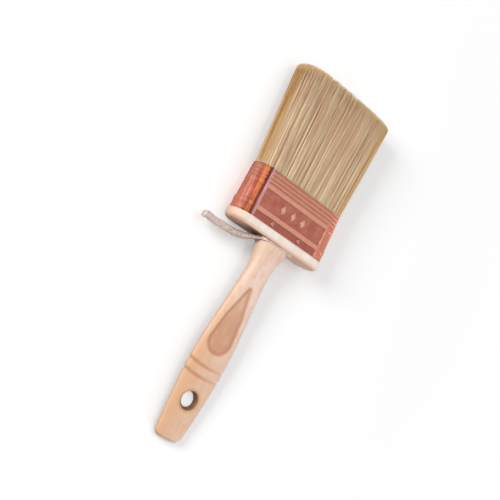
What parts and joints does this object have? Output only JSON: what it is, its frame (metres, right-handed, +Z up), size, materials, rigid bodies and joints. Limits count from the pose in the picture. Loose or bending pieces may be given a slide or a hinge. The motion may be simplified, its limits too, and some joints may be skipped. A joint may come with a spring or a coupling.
{
  "type": "flat block paint brush",
  "caption": "Wide flat natural bristle paint brush with a copper-coloured ferrule, wooden block, flattened bar hook for a bucket rim and a flat beech handle with a hanging hole.",
  "frame": {"origin": "middle of the base of the bounding box; the brush lies on its back, resting on its block", "axes": "+Y towards the bristle tips, +Z up out of the front face, +X to the right as the front is seen with the bristles up; the hook points to -X"},
  "size_m": [0.123, 0.3164, 0.0256],
  "materials": {
    "beech": "plain sanded beech",
    "pale_wood": "plain sanded pale wood",
    "spacer_wood": "sawn strip",
    "galvanised": "galvanised bar",
    "steel": "bright steel",
    "coppered_sheet": "copper-plated pressed sheet",
    "resin": "cast resin",
    "bristle": "pale hog bristle"
  },
  "bodies": {
    "root": {"handle": "beech", "bucket_hook": "galvanised", "hook_pins": "steel", "head_block": "pale_wood", "handle_screw": "steel", "ferrule": "coppered_sheet", "ferrule_nails_front": "steel", "ferrule_nails_back": "steel", "resin_setting": "resin", "spacer_front": "spacer_wood", "spacer_back": "spacer_wood", "bristles_front": "bristle", "bristles_middle": "bristle", "bristles_back": "bristle"}
  },
  "joints": []
}
